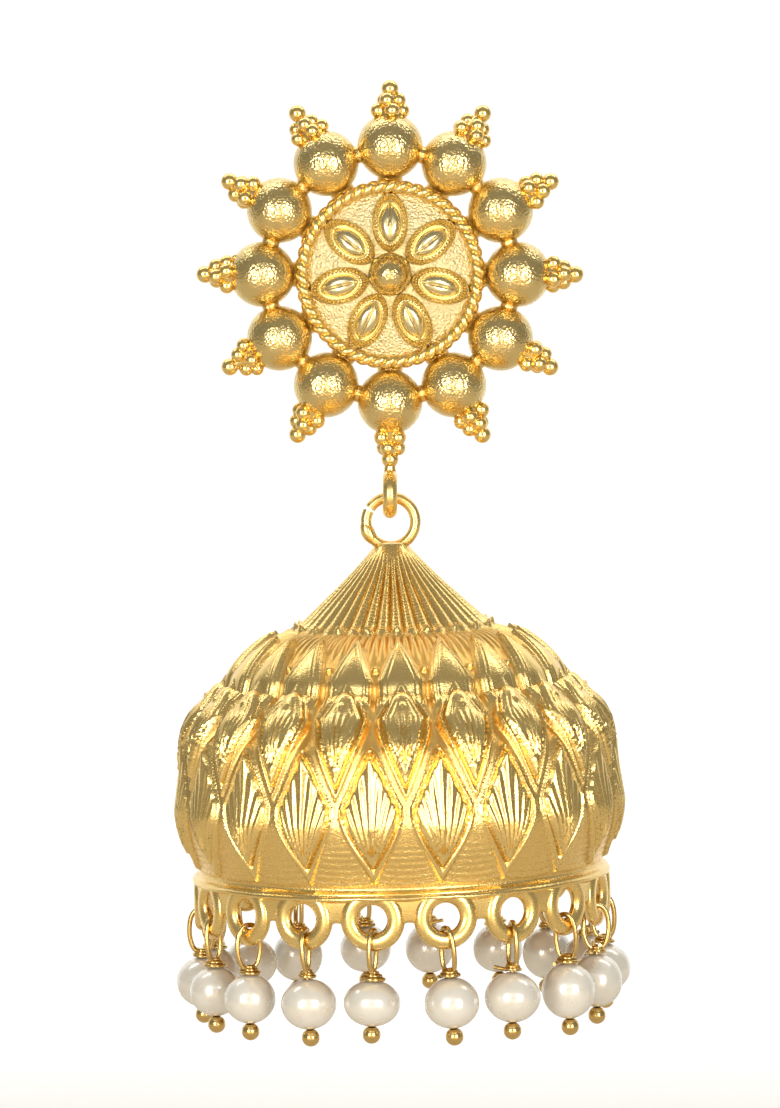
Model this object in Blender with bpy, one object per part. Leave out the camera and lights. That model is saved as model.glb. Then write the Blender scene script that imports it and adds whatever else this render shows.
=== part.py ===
"""Drop earring: a flower stud carries a hollow gold bell fringed with pearls.

Metres, +Z up, the front faces -Y.  The origin is where the ear post leaves the stud's flat back.
The stud is made lying on its back and then stood up.  The bell hangs by its soldered wire ring in
the stud's cast loop, and swings front to back about the ring's top wire.
"""

import math

import bmesh
import bpy
from mathutils import Euler, Matrix, Vector

for old in list(bpy.data.objects):
    bpy.data.objects.remove(old, do_unlink=True)

# Sizes of the stud: balls soldered in a ring round a flower disc
BALL_COUNT = 12
BALL_RADIUS = 0.0024
BALL_GAP = 0.0002
SOLDER_NECK_RADIUS = 0.0007
DISC_THICKNESS = 0.0030
DISC_CROWN = 0.0004
ROPE_RADIUS = 0.00045
FLOWER_PETALS = 7
FLOWER_PETAL_WIDTH = 0.0027
FLOWER_PETAL_HEIGHT = 0.0006
BOSS_RADIUS = 0.0016

# Sizes of the pyramid of granules on the outer end of each ball
CLUSTER_HEIGHT = 0.0026
TIP_GRANULE_RADIUS = 0.00067
GRANULE_RADIUS = 0.00056
GRANULES_ROUND_TIP = 3
CLUSTER_TURNS_DEG = (10, 40, 62, 25, 50, 8, 45, 30, 70, 15, 55, 35)

# Sizes of the post behind the stud and of the cast loop under it
POST_RADIUS = 0.00045
POST_LENGTH = 0.0105
LOOP_HOLE_RADIUS = 0.00075
LOOP_WIRE_RADIUS = 0.00056
LOOP_STANDOFF = 0.0001

# Sizes of the bell, with its ring on top and its eyelets under the rim
RING_RADIUS = 0.00187
RING_WIRE_RADIUS = 0.00041
LINK_CLEARANCE = 0.00009
DOME_RADIUS = 0.0172
DOME_HEIGHT = 0.0248
DOME_WALL = 0.0008
PETALS_ROUND = 20
PETAL_RELIEF = 0.0008
FLUTE_DEPTH = 0.0003
EYELET_COUNT = 18
EYELET_RADIUS = 0.00155
EYELET_WIRE_RADIUS = 0.00048
EYELET_SINK = 0.0004
DROP_LEAN_DEG = 1.7
DOME_TURN_DEG = 1.9

# Sizes of a pearl drop: a drilled pearl on a head pin
PEARL_RADIUS = 0.0020
PEARL_BORE_RADIUS = 0.00034
PIN_WIRE_RADIUS = 0.00019
PIN_EYE_RADIUS = 0.00095
PIN_WRAP_RADIUS = 0.00043
PIN_WRAP_LENGTH = 0.0019
PIN_HEAD_RADIUS = 0.00066
PEARL_CLEARANCE = 0.00008

# Where the pieces meet, worked out from the sizes above
BALL_RING_RADIUS = (BALL_RADIUS + BALL_GAP / 2) / math.sin(math.pi / BALL_COUNT)
DISC_RADIUS = BALL_RING_RADIUS - BALL_RADIUS - BALL_GAP
FACE_RADIUS = DISC_RADIUS - 2 * ROPE_RADIUS
TIP_DISTANCE = BALL_RADIUS + CLUSTER_HEIGHT - TIP_GRANULE_RADIUS
CLUSTER_END = BALL_RING_RADIUS + BALL_RADIUS + CLUSTER_HEIGHT
LOOP_RADIUS = LOOP_HOLE_RADIUS + LOOP_WIRE_RADIUS
LOOP_CENTRE = CLUSTER_END + LOOP_STANDOFF + LOOP_RADIUS + LOOP_WIRE_RADIUS
PIVOT_Z = -(LOOP_CENTRE + LOOP_HOLE_RADIUS - RING_WIRE_RADIUS - LINK_CLEARANCE)
NECK_Z = -2 * RING_RADIUS
RIM_Z = NECK_Z - DOME_HEIGHT

# Outline of the bell from the neck down, as shares of its height and radius.  lined: the inner
# wall follows this section.  flute: share of the flutes' depth.  front and between: half-widths
# of the petals centred on the front and of those staggered between them, in half spacings.
DOME_SECTIONS = (
    # down, out, lined, flute, front, between
    (0.000, 0.070, False, 0.0, 0.0, 0.0),
    (0.094, 0.152, False, 0.7, 0.0, 0.0),
    (0.172, 0.301, True, 1.0, 0.0, 0.0),
    (0.238, 0.405, False, 1.0, 0.0, 0.0),
    (0.262, 0.550, True, 0.0, 0.55, 0.0),
    (0.330, 0.710, True, 0.0, 0.95, 0.0),
    (0.408, 0.745, False, 0.0, 1.4, 0.0),
    (0.444, 0.846, False, 0.0, 1.0, 0.0),
    (0.500, 0.920, True, 0.0, 1.0, 0.0),
    (0.590, 0.965, True, 0.0, 0.8, 0.0),
    (0.688, 0.959, False, 0.0, 0.40, 0.75),
    (0.744, 0.990, False, 0.0, 0.0, 1.0),
    (0.791, 1.000, True, 0.0, 0.0, 1.0),
    (0.883, 0.980, True, 0.0, 0.0, 0.75),
    (0.960, 0.927, False, 0.0, 0.0, 0.3),
    (0.980, 0.925, False, 0.0, 0.0, 1.9),
    (1.000, 0.915, True, 0.0, 0.0, 1.9),
)
COLUMNS_PER_PETAL = 4
LINING_STEP = 4

# How each pearl drop hangs: its eye's turn and the drop's sideways tilt in degrees, and the
# pearl's girth and height as shares of a true ball
DROP_POSES = (
    # turn, tilt, girth, height
    (14, 3.0, 1.00, 0.95),
    (-22, -2.0, 0.97, 1.02),
    (9, 2.0, 1.02, 0.97),
    (25, -3.5, 0.98, 1.00),
    (-12, 1.5, 1.00, 0.93),
    (18, -1.0, 1.03, 0.98),
    (-6, 2.5, 0.98, 1.01),
    (20, -2.5, 1.00, 0.96),
    (-18, 1.0, 0.97, 1.00),
    (11, -1.5, 1.02, 0.94),
    (-24, 3.0, 0.99, 1.00),
    (7, -2.0, 1.01, 0.97),
    (16, 2.0, 0.97, 1.02),
    (-10, -3.0, 1.00, 0.96),
    (22, 1.0, 1.02, 0.99),
    (-16, -1.0, 0.98, 0.95),
    (5, 2.0, 1.00, 1.01),
    (-20, -2.5, 1.01, 0.96),
)


def material(name, colour, roughness, metallic):
    """A Principled material of one colour."""
    finish = bpy.data.materials.new(name)
    finish.use_nodes = True
    shader = finish.node_tree.nodes["Principled BSDF"]
    shader.inputs["Base Color"].default_value = (*colour, 1.0)
    shader.inputs["Roughness"].default_value = roughness
    shader.inputs["Metallic"].default_value = metallic
    return finish


def outward(mesh):
    """The same mesh with every face pointing out of its body."""
    work = bmesh.new()
    work.from_mesh(mesh)
    bmesh.ops.recalc_face_normals(work, faces=work.faces)
    work.to_mesh(mesh)
    work.free()
    return mesh


def circle(radius, height, count, start=0.0):
    """Points of a level circle round the Z axis."""
    angles = [start + 2 * math.pi * i / count for i in range(count)]
    return [Vector((radius * math.cos(a), radius * math.sin(a), height)) for a in angles]


def bands(rings, first, closed):
    """Quads between each ring of points and the next, for points numbered from first."""
    count = len(rings[0])
    spans = len(rings) if closed else len(rings) - 1
    faces = []
    for i in range(spans):
        near = first + i * count
        far = first + (i + 1) % len(rings) * count
        for j in range(count):
            k = (j + 1) % count
            faces.append((near + j, near + k, far + k, far + j))
    return faces


def skin(rings, closed=False):
    """A closed body through rings of points: its ends are capped, or joined to each other."""
    points = [point for ring in rings for point in ring]
    faces = bands(rings, 0, closed)
    if not closed:
        count = len(rings[0])
        faces.append(tuple(reversed(range(count))))
        faces.append(tuple(range(len(points) - count, len(points))))
    mesh = bpy.data.meshes.new("skin")
    mesh.from_pydata(points, [], faces)
    return outward(mesh)


def turned(profile, sides, closed=False):
    """A body turned round the Z axis from (radius, height) points."""
    return skin([circle(radius, height, sides) for radius, height in profile], closed)


def link(radius, wire_radius, sides, wire_sides):
    """A round ring of round wire, lying level round the Z axis."""
    rings = []
    for i in range(sides):
        turn = Matrix.Rotation(2 * math.pi * i / sides, 3, "Z")
        section = circle(wire_radius, 0.0, wire_sides, math.pi / wire_sides)
        rings.append([turn @ Vector((radius + p.x, 0.0, p.y)) for p in section])
    return skin(rings, closed=True)


def ball(radius, subdivisions):
    """A faceted ball at the origin."""
    work = bmesh.new()
    bmesh.ops.create_icosphere(work, subdivisions=subdivisions, radius=radius)
    mesh = bpy.data.meshes.new("ball")
    work.to_mesh(mesh)
    work.free()
    return mesh


def rod(start, end, start_radius, end_radius, sides):
    """A straight or tapered rod between two points."""
    start = Vector(start)
    way = Vector(end) - start
    mesh = turned([(start_radius, 0.0), (end_radius, way.length)], sides)
    return placed(mesh, start, way.to_track_quat("Z", "Y"))


def placed(mesh, place, rotation=None):
    """The mesh turned about the origin and then moved."""
    if rotation is not None:
        mesh.transform(rotation.to_matrix().to_4x4())
    mesh.transform(Matrix.Translation(Vector(place)))
    return mesh


def fused(solids):
    """One body, the union of solids that overlap as soldered pieces do."""
    base = bpy.data.objects.new("base", solids[0])
    joined = bmesh.new()
    for solid in solids[1:]:
        joined.from_mesh(solid)
    tool_mesh = bpy.data.meshes.new("tool")
    joined.to_mesh(tool_mesh)
    joined.free()
    tool = bpy.data.objects.new("tool", tool_mesh)
    for helper in (base, tool):
        bpy.context.scene.collection.objects.link(helper)
    union = base.modifiers.new("solder", "BOOLEAN")
    union.operation = "UNION"
    union.solver = "EXACT"
    union.use_self = True
    union.object = tool
    bpy.context.view_layer.update()
    evaluated = base.evaluated_get(bpy.context.evaluated_depsgraph_get())
    mesh = bpy.data.meshes.new_from_object(evaluated)
    for helper in (base, tool):
        bpy.data.objects.remove(helper, do_unlink=True)
    return mesh


def piece(name, mesh, finish, parent=None, sharp_deg=40.0):
    """A named object for one piece, in its parent's frame."""
    mesh.name = name
    mesh.materials.clear()
    mesh.materials.append(finish)
    mesh.shade_smooth()
    mesh.set_sharp_from_angle(angle=math.radians(sharp_deg))
    body = bpy.data.objects.new(name, mesh)
    body.parent = parent
    bpy.context.scene.collection.objects.link(body)
    return body


def frame(name, place, rotation, parent=None):
    """An empty that carries the pieces of one hanging part."""
    empty = bpy.data.objects.new(name, None)
    empty.empty_display_size = BALL_RADIUS
    empty.location = place
    empty.rotation_euler = rotation
    empty.parent = parent
    bpy.context.scene.collection.objects.link(empty)
    return empty


# Stud, made lying on its back: x to the right, y up, z out of the face
def disc_blank():
    """The turned disc: flat back, slightly swelling face and a round rim where the rope lies."""
    rope_top = DISC_THICKNESS + ROPE_RADIUS
    return turned(
        [
            (DISC_RADIUS, 0.0),
            (DISC_RADIUS, DISC_THICKNESS),
            (DISC_RADIUS - 0.5 * ROPE_RADIUS, rope_top),
            (DISC_RADIUS - 1.5 * ROPE_RADIUS, rope_top),
            (FACE_RADIUS, DISC_THICKNESS),
            (0.5 * FACE_RADIUS, DISC_THICKNESS + 0.8 * DISC_CROWN),
            (0.1 * FACE_RADIUS, DISC_THICKNESS + DISC_CROWN),
        ],
        24,
    )


def flower_petal(angle):
    """A pointed petal with a raised border and a ridge down its middle."""
    inner_end = BOSS_RADIUS + 0.5 * ROPE_RADIUS
    length = FACE_RADIUS - inner_end
    outline = []
    for along, across in ((-1, 0), (-0.6, 0.64), (0, 1), (0.6, 0.64)):
        outline.append((along, across))
    for along, across in ((1, 0), (0.6, -0.64), (0, -1), (-0.6, -0.64)):
        outline.append((along, across))
    rings = []
    for size, height in ((1.0, -0.8), (0.9, 1.0), (0.68, 0.4), (0.16, 0.9)):
        ring = [
            Vector((size * a * length / 2, size * b * FLOWER_PETAL_WIDTH / 2,
                    height * FLOWER_PETAL_HEIGHT))
            for a, b in outline
        ]
        rings.append(ring)
    middle = inner_end + length / 2
    face = DISC_THICKNESS + 0.5 * DISC_CROWN
    place = (middle * math.cos(angle), middle * math.sin(angle), face)
    return placed(skin(rings), place, Euler((0.0, 0.0, angle)))


def cluster(turn):
    """Granules heaped to a point on a ball, the ball's centre at the origin, pointing along +X."""
    axis = Vector((1.0, 0.0, 0.0))
    ring_distance = BALL_RADIUS + 0.34 * CLUSTER_HEIGHT
    ring_radius = 1.7 * GRANULE_RADIUS
    solids = [
        rod(0.85 * BALL_RADIUS * axis, TIP_DISTANCE * axis, ring_radius, 0.6 * TIP_GRANULE_RADIUS, 5),
        placed(ball(TIP_GRANULE_RADIUS, 1), TIP_DISTANCE * axis),
    ]
    for i in range(GRANULES_ROUND_TIP):
        angle = turn + 2 * math.pi * i / GRANULES_ROUND_TIP
        place = (ring_distance, ring_radius * math.cos(angle), ring_radius * math.sin(angle))
        solids.append(placed(ball(GRANULE_RADIUS, 1), place))
    return solids


def ball_ring():
    """The balls with their solder necks and granules."""
    step = 2 * math.pi / BALL_COUNT
    solids = []
    for i in range(BALL_COUNT):
        granule_turn = math.radians(CLUSTER_TURNS_DEG[i % len(CLUSTER_TURNS_DEG)])
        angle = math.pi / 2 - i * step
        turn = Euler((0.0, 0.0, angle))
        centre = Vector((BALL_RING_RADIUS, 0.0, BALL_RADIUS))
        reach = Vector((BALL_RADIUS * 0.6, 0.0, 0.0))
        solids.append(placed(placed(ball(BALL_RADIUS, 2), centre), (0, 0, 0), turn))
        inward = Vector((DISC_RADIUS - ROPE_RADIUS, 0.0, BALL_RADIUS))
        neck = rod(inward, centre - reach, SOLDER_NECK_RADIUS, SOLDER_NECK_RADIUS, 4)
        solids.append(placed(neck, (0, 0, 0), turn))
        for granule in cluster(granule_turn):
            solids.append(placed(placed(granule, centre), (0, 0, 0), turn))
        between = Matrix.Rotation(angle + step / 2, 4, "Z") @ Vector(
            (BALL_RING_RADIUS * math.cos(step / 2), 0.0, BALL_RADIUS))
        along = Vector((-math.sin(angle + step / 2), math.cos(angle + step / 2), 0.0))
        half = 0.25 * BALL_RADIUS * along
        solids.append(rod(between - half, between + half, SOLDER_NECK_RADIUS, SOLDER_NECK_RADIUS, 4))
    return solids


def stud_loop():
    """The cast loop under the lowest granule, its hole facing sideways."""
    loop = placed(link(LOOP_RADIUS, LOOP_WIRE_RADIUS, 12, 6), (0, -LOOP_CENTRE, BALL_RADIUS),
                  Euler((0.0, math.pi / 2, 0.0)))
    stem_start = (0.0, -(BALL_RING_RADIUS + TIP_DISTANCE), BALL_RADIUS)
    stem_end = (0.0, -(LOOP_CENTRE - LOOP_RADIUS), BALL_RADIUS)
    return [loop, rod(stem_start, stem_end, 0.8 * LOOP_WIRE_RADIUS, 0.8 * LOOP_WIRE_RADIUS, 6)]


def ear_post():
    """The plain post that goes through the ear, soldered into the disc's back."""
    tip = -POST_LENGTH
    return turned(
        [
            (POST_RADIUS, 0.4 * DISC_THICKNESS),
            (POST_RADIUS, tip + POST_RADIUS),
            (0.5 * POST_RADIUS, tip),
        ],
        8,
    )


GOLD = material("gold", (0.83, 0.60, 0.24), 0.34, 1.0)
PEARL = material("pearl", (0.90, 0.86, 0.78), 0.25, 0.0)

stud_solids = [disc_blank()]
stud_solids += ball_ring()
for petal_index in range(FLOWER_PETALS):
    stud_solids.append(flower_petal(math.pi / 2 + 2 * math.pi * petal_index / FLOWER_PETALS))
stud_solids.append(placed(ball(BOSS_RADIUS, 2), (0, 0, DISC_THICKNESS + DISC_CROWN)))
stud_solids += stud_loop()
stud_solids.append(ear_post())
stud = piece("stud", fused(stud_solids), GOLD)
stud.rotation_euler = (math.pi / 2, 0.0, 0.0)


# Bell, with z measured down from the hinge in the ring's top wire
def cover(offset, half_width):
    """How high a petal stands at an offset from its middle: 1 on its crest, 0 beside it."""
    if half_width <= 0.0:
        return 0.0
    return max(0.0, 1.0 - (offset / half_width) ** 2)


def relief_depth(section, column):
    """Depth under the crests at one column, from the flutes or the petals of that section."""
    flute, front, between = section[3:]
    offset = 2 * (column % COLUMNS_PER_PETAL) / COLUMNS_PER_PETAL
    near_front = min(offset, 2 - offset)
    if flute > 0.0 or front + between == 0.0:
        return FLUTE_DEPTH * flute * (column % 2)
    height = max(cover(near_front, front), cover(1 - near_front, between))
    return PETAL_RELIEF * (1.0 - height)


def outer_rings():
    """The bell's outside, section by section from the neck to the rim."""
    columns = PETALS_ROUND * COLUMNS_PER_PETAL
    rings = []
    for section in DOME_SECTIONS:
        height = NECK_Z - section[0] * DOME_HEIGHT
        ring = []
        for column in range(columns):
            angle = 2 * math.pi * column / columns - math.pi / 2
            radius = section[1] * DOME_RADIUS - relief_depth(section, column)
            ring.append(Vector((radius * math.cos(angle), radius * math.sin(angle), height)))
        rings.append(ring)
    return rings


def inner_rings(columns):
    """The bell's inside, a wall's thickness in from the hollows of the lined sections."""
    points = []
    for section in DOME_SECTIONS:
        depth = FLUTE_DEPTH if section[3] > 0.0 else PETAL_RELIEF
        if section[0] > 0.96:
            depth = 0.0
        points.append(Vector((section[1] * DOME_RADIUS - depth, NECK_Z - section[0] * DOME_HEIGHT)))
    rings = []
    for i, section in enumerate(DOME_SECTIONS):
        if not section[2]:
            continue
        if i + 1 < len(points):
            way = points[i + 1] - points[i - 1]
        else:
            way = Vector((0.0, -1.0))
        inward = Vector((way.y, -way.x)).normalized()
        spot = points[i] + DOME_WALL * inward
        rings.append(circle(spot.x, spot.y, columns, -math.pi / 2))
    return rings


def bell():
    """The hollow bell: outside and inside joined round the rim."""
    outside = outer_rings()
    inside = inner_rings(len(outside[0]) // LINING_STEP)
    points = [p for ring in outside for p in ring]
    faces = bands(outside, 0, False)
    faces.append(tuple(range(len(outside[0]))))
    first = len(points)
    points += [p for ring in inside for p in ring]
    faces += bands(inside, first, False)
    faces.append(tuple(range(first, first + len(inside[0]))))
    outer_rim = first - len(outside[0])
    inner_rim = len(points) - len(inside[0])
    for j in range(len(inside[0])):
        k = (j + 1) % len(inside[0])
        strip = [outer_rim + (LINING_STEP * j + i) % len(outside[0]) for i in range(LINING_STEP + 1)]
        faces.append(tuple(strip + [inner_rim + k, inner_rim + j]))
    mesh = bpy.data.meshes.new("bell")
    mesh.from_pydata(points, [], faces)
    return outward(mesh)


def eyelet_place():
    """Radius and height of the eyelets' centres: under the middle of the rim's wall."""
    radius = DOME_SECTIONS[-1][1] * DOME_RADIUS - DOME_WALL / 2
    height = RIM_Z - EYELET_RADIUS - EYELET_WIRE_RADIUS + EYELET_SINK
    return radius, height


def eyelet_angle(index):
    """Eyelets are spaced evenly with a gap in front: half a step to each side of it."""
    return 2 * math.pi * (index + 0.5) / EYELET_COUNT - math.pi / 2


def eyelets():
    """Wire eyelets that hang from the rim, each facing outwards."""
    radius, height = eyelet_place()
    solids = []
    for i in range(EYELET_COUNT):
        eyelet = placed(link(EYELET_RADIUS, EYELET_WIRE_RADIUS, 10, 5), (radius, 0, height),
                        Euler((0.0, math.pi / 2, 0.0)))
        solids.append(placed(eyelet, (0, 0, 0), Euler((0.0, 0.0, eyelet_angle(i)))))
    return solids


def top_ring():
    """The wire ring that hangs in the stud's loop, with the bead of solder on its left."""
    ring = placed(link(RING_RADIUS, RING_WIRE_RADIUS, 14, 6), (0, 0, -RING_RADIUS),
                  Euler((math.pi / 2, 0.0, 0.0)))
    solder = ball(RING_WIRE_RADIUS, 1)
    solder.transform(Matrix.Diagonal((1.4, 1.3, 2.1, 1.0)))
    place = (-0.93 * RING_RADIUS, 0, -1.42 * RING_RADIUS)
    return [ring, placed(solder, place, Euler((0.0, math.radians(-20), 0.0)))]


drop_hang = frame("drop_hang", (0.0, -BALL_RADIUS, PIVOT_Z), (0.0, -math.radians(DROP_LEAN_DEG), 0.0))
dome_turn = frame("dome_turn", (0.0, 0.0, 0.0), (0.0, 0.0, math.radians(DOME_TURN_DEG)), drop_hang)
ring_solids = top_ring()
for solid in ring_solids:
    placed(solid, (0, 0, 0), Euler((0.0, 0.0, -math.radians(DOME_TURN_DEG))))
dome = piece("dome", fused([bell()] + eyelets() + ring_solids), GOLD, dome_turn, 30.0)


# Pearl drops, with the origin in the top wire of the pin's eye and x pointing out of the bell
PEARL_END = math.sqrt(PEARL_RADIUS ** 2 - PEARL_BORE_RADIUS ** 2)
WRAP_TOP = -2 * PIN_EYE_RADIUS + PIN_WIRE_RADIUS
WRAP_END = WRAP_TOP - PIN_WRAP_LENGTH


def pearl_mesh(girth, height):
    """A drilled pearl at its own centre, with its bore along Z."""
    profile = []
    steps = 5
    start = math.atan2(PEARL_BORE_RADIUS, PEARL_END)
    for i in range(steps + 1):
        angle = start + (math.pi - 2 * start) * i / steps
        radius = PEARL_RADIUS * math.sin(angle)
        if 0 < i < steps:
            radius *= girth
        profile.append((radius, PEARL_RADIUS * height * math.cos(angle)))
    return turned(profile, 10, closed=True)


def head_pin_mesh(height):
    """A head pin for a pearl of one height: ball head, wire, wrapped neck and eye."""
    pearl_centre = WRAP_END - PEARL_CLEARANCE - PEARL_END * height
    nest = math.sqrt(PIN_HEAD_RADIUS ** 2 - PEARL_BORE_RADIUS ** 2)
    head = pearl_centre - PEARL_END * height - PEARL_CLEARANCE - nest
    body = turned(
        [
            (PIN_WRAP_RADIUS, WRAP_TOP),
            (PIN_WRAP_RADIUS, WRAP_END),
            (PIN_WIRE_RADIUS, WRAP_END),
            (PIN_WIRE_RADIUS, head + 0.95 * PIN_HEAD_RADIUS),
            (0.95 * PIN_HEAD_RADIUS, head + 0.3 * PIN_HEAD_RADIUS),
            (0.95 * PIN_HEAD_RADIUS, head - 0.3 * PIN_HEAD_RADIUS),
            (0.3 * PIN_HEAD_RADIUS, head - 0.95 * PIN_HEAD_RADIUS),
        ],
        5,
    )
    eye = placed(link(PIN_EYE_RADIUS, PIN_WIRE_RADIUS, 10, 5), (0, 0, -PIN_EYE_RADIUS),
                 Euler((math.pi / 2, 0.0, 0.0)))
    return fused([body, eye]), pearl_centre


eyelet_ring_radius, eyelet_height = eyelet_place()
hang_height = (eyelet_height - EYELET_RADIUS + EYELET_WIRE_RADIUS
               + PIN_WIRE_RADIUS + LINK_CLEARANCE)
for index in range(EYELET_COUNT):
    turn_deg, tilt_deg, girth, height = DROP_POSES[index % len(DROP_POSES)]
    angle = eyelet_angle(index)
    place = (eyelet_ring_radius * math.cos(angle), eyelet_ring_radius * math.sin(angle), hang_height)
    tilt = (math.radians(tilt_deg), 0.0, angle)
    number = f"{index + 1:02d}"
    hang = frame("hang_" + number, place, tilt, dome_turn)
    pin_mesh, pearl_z = head_pin_mesh(height)
    pin = piece("head_pin_" + number, pin_mesh, GOLD, hang)
    pin.rotation_euler = (0.0, 0.0, math.radians(turn_deg))
    pearl = piece("pearl_" + number, pearl_mesh(girth, height), PEARL, hang)
    pearl.location = (0.0, 0.0, pearl_z)
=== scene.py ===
"""The looks of a gold drop earring: a flower stud, a hollow bell with three rows of petals, and a
fringe of pearls on wrapped head pins.  Sizes are in millimetres; place_piece() turns them to metres.
"""

import math

import bpy
import numpy as np
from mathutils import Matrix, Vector


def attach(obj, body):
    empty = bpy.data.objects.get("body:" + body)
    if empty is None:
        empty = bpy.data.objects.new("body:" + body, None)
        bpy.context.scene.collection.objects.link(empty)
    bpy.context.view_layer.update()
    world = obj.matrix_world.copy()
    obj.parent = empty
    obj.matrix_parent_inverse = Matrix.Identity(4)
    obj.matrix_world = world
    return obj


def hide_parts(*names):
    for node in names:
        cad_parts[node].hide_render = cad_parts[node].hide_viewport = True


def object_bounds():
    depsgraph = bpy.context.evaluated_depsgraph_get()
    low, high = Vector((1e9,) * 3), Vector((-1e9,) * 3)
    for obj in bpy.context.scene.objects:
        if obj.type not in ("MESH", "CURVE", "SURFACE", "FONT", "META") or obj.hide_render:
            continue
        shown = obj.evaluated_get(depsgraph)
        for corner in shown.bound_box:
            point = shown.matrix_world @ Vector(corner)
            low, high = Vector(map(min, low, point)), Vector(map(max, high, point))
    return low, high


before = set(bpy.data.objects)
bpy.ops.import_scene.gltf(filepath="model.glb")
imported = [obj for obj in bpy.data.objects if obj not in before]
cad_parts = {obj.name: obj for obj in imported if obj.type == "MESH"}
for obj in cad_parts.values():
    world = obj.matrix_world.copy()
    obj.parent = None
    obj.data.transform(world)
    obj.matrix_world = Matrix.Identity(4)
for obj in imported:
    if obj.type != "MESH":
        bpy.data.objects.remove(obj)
cad_low, cad_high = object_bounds()

# Studio
# The earring hangs in front of a plain white sweep.  Two tall softboxes, one on each side of the
# camera, give every ball its pair of highlights.  A faint fill stands above the camera, a low warm
# card below it, and a long lamp lights the sweep from over the earring.
MM = 0.001
CAMERA_DISTANCE = 365.0
CAMERA_HEIGHT = 0.0
AIM_HEIGHT = -21.2
FRAME_HEIGHT = 84.0
HANG_DEPTH = -2.4
FLOOR_DROP = 40.0
FLOOR_FRONT = -900.0
SWEEP_DEPTH = 260.0
SWEEP_WIDTH = 1400.0
SWEEP_RISE = 900.0
BEND_STEPS = 24
WARM_FLOOR_END = 80.0
PALE_FLOOR_START = 240.0
SWEEP_GLOW = 0.16
FLOOR_TONES = ((0.0, (0.44, 0.38, 0.29)), (1.0, (0.82, 0.82, 0.81)))


def graded(tree, place, axis, low, high, stops, target):
    """Colours along one axis of a coordinate, between two values, linked to a colour socket."""
    split = tree.nodes.new("ShaderNodeSeparateXYZ")
    share = tree.nodes.new("ShaderNodeMapRange")
    share.inputs["From Min"].default_value = low
    share.inputs["From Max"].default_value = high
    ramp = tree.nodes.new("ShaderNodeValToRGB")
    while len(ramp.color_ramp.elements) < len(stops):
        ramp.color_ramp.elements.new(0.5)
    for stop, (where, colour) in zip(ramp.color_ramp.elements, stops):
        stop.position = where
        stop.color = (*colour, 1.0)
    for source, socket in ((tree.nodes.new("ShaderNodeTexCoord").outputs[place], split.inputs[0]),
                           (split.outputs[axis], share.inputs["Value"]),
                           (share.outputs[0], ramp.inputs["Fac"]),
                           (ramp.outputs["Color"], target)):
        tree.links.new(source, socket)


stage_finish = bpy.data.materials.new("white_sweep")
stage_finish.use_nodes = True
stage_shader = stage_finish.node_tree.nodes["Principled BSDF"]
stage_shader.inputs["Roughness"].default_value = 0.9
stage_shader.inputs["Specular IOR Level"].default_value = 0.1
stage_shader.inputs["Emission Color"].default_value = (1.0, 1.0, 1.0, 1.0)
stage_shader.inputs["Emission Strength"].default_value = SWEEP_GLOW
graded(stage_finish.node_tree, "Object", "Y", WARM_FLOOR_END * MM, PALE_FLOOR_START * MM,
       FLOOR_TONES, stage_shader.inputs["Base Color"])


def spots(x, y, z):
    """Points from their coordinates, each a number or an array."""
    return np.stack(np.broadcast_arrays(x, y, z), axis=-1)


def sweep_sheet(floor_height):
    """A floor that curves up into a wall: flat, then a quarter circle, then upright."""
    bend = 0.5 * SWEEP_DEPTH
    turn = np.linspace(0.0, math.pi / 2, BEND_STEPS)
    depth = np.concatenate([[FLOOR_FRONT], SWEEP_DEPTH + bend * np.sin(turn), [SWEEP_DEPTH + bend]])
    height = np.concatenate([[0.0], bend * (1 - np.cos(turn)), [SWEEP_RISE]]) + floor_height
    across = np.array([-SWEEP_WIDTH / 2, SWEEP_WIDTH / 2])
    points = spots(across, depth[:, None], height[:, None])
    first = 2 * np.arange(len(depth) - 1)
    faces = np.stack([first, first + 1, first + 3, first + 2], axis=1)
    mesh = bpy.data.meshes.new("studio_sweep")
    mesh.from_pydata((points.reshape(-1, 3) * MM).tolist(), [], faces.tolist())
    mesh.shade_smooth()
    mesh.materials.append(stage_finish)
    sweep = bpy.data.objects.new("studio_sweep", mesh)
    bpy.context.scene.collection.objects.link(sweep)


def softbox(name, place, aim, size, power, colour):
    """A rectangular lamp at a place, turned to face a point."""
    lamp = bpy.data.lights.new(name, "AREA")
    lamp.shape = "RECTANGLE"
    lamp.size = size[0] * MM
    lamp.size_y = size[1] * MM
    lamp.energy = power
    lamp.color = colour
    holder = bpy.data.objects.new(name, lamp)
    way = np.array(aim, float) - np.array(place, float)
    holder.location = [MM * c for c in place]
    holder.rotation_euler = Vector(way).to_track_quat("-Z", "Y").to_euler()
    bpy.context.scene.collection.objects.link(holder)


sweep_sheet(1000 * cad_low[2] - FLOOR_DROP)
middle = (0.0, HANG_DEPTH, AIM_HEIGHT)
LAMPS = (
    # name, place, what it faces, width and height, watts, colour
    ("left_softbox", (-185, -370, 20), middle, (110, 185), 0.72, (1.0, 0.99, 0.97)),
    ("right_softbox", (185, -370, 20), middle, (110, 185), 0.72, (1.0, 0.99, 0.97)),
    ("front_fill", (0, -520, 190), middle, (420, 160), 0.20, (1.0, 0.98, 0.95)),
    ("low_card", (0, -200, -70), middle, (300, 80), 0.07, (1.0, 0.72, 0.42)),
    ("sweep_lamp", (0, 120, 420), (0, 390, 150), (900, 120), 2.3, (1.0, 1.0, 1.0)),
)
for lamp_row in LAMPS:
    softbox(*lamp_row)

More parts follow.
